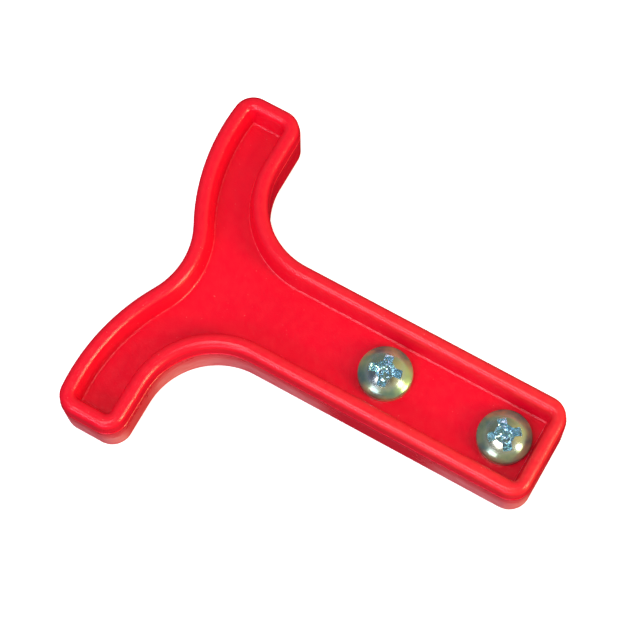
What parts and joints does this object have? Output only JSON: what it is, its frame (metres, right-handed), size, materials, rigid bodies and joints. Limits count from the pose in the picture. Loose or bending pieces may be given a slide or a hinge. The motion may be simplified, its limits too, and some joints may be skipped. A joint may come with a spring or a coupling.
{
  "type": "frame grip",
  "caption": "Y-shaped plastic pull grip with raised rounded rims, recessed faces and cross-head screws through its stem, for lifting frames out of a beehive.",
  "frame": {"origin": "on the plane that the back rim rests on, under the middle of the grip's outline", "axes": "+X along the stem away from the palm, +Z out of the front face, +Y along one arm; the grip is symmetric about the XZ plane"},
  "size_m": [0.0954, 0.0804, 0.0145],
  "materials": {
    "red_plastic": "moulded, semi-gloss rim over a finely grained floor",
    "zinc_screw": "bright zinc plating with a faint yellow tint",
    "zinc_nut": "bright zinc plating, slightly dulled"
  },
  "bodies": {
    "grip": {"front_shell": "red_plastic", "back_shell": "red_plastic", "inner_washer": "zinc_nut", "outer_washer": "zinc_nut", "inner_nut": "zinc_nut", "outer_nut": "zinc_nut"},
    "inner_screw": {"inner_screw": "zinc_screw"},
    "outer_screw": {"outer_screw": "zinc_screw"}
  },
  "joints": [
    {"name": "inner_screw_turn", "type": "hinge", "parent": "grip", "child": "inner_screw", "pos_m": [0.00952, 0, 0.0089], "axis": [0, 0, 1], "continuous": true},
    {"name": "outer_screw_turn", "type": "hinge", "parent": "grip", "child": "outer_screw", "pos_m": [0.03762, 0, 0.0089], "axis": [0, 0, 1], "continuous": true}
  ]
}
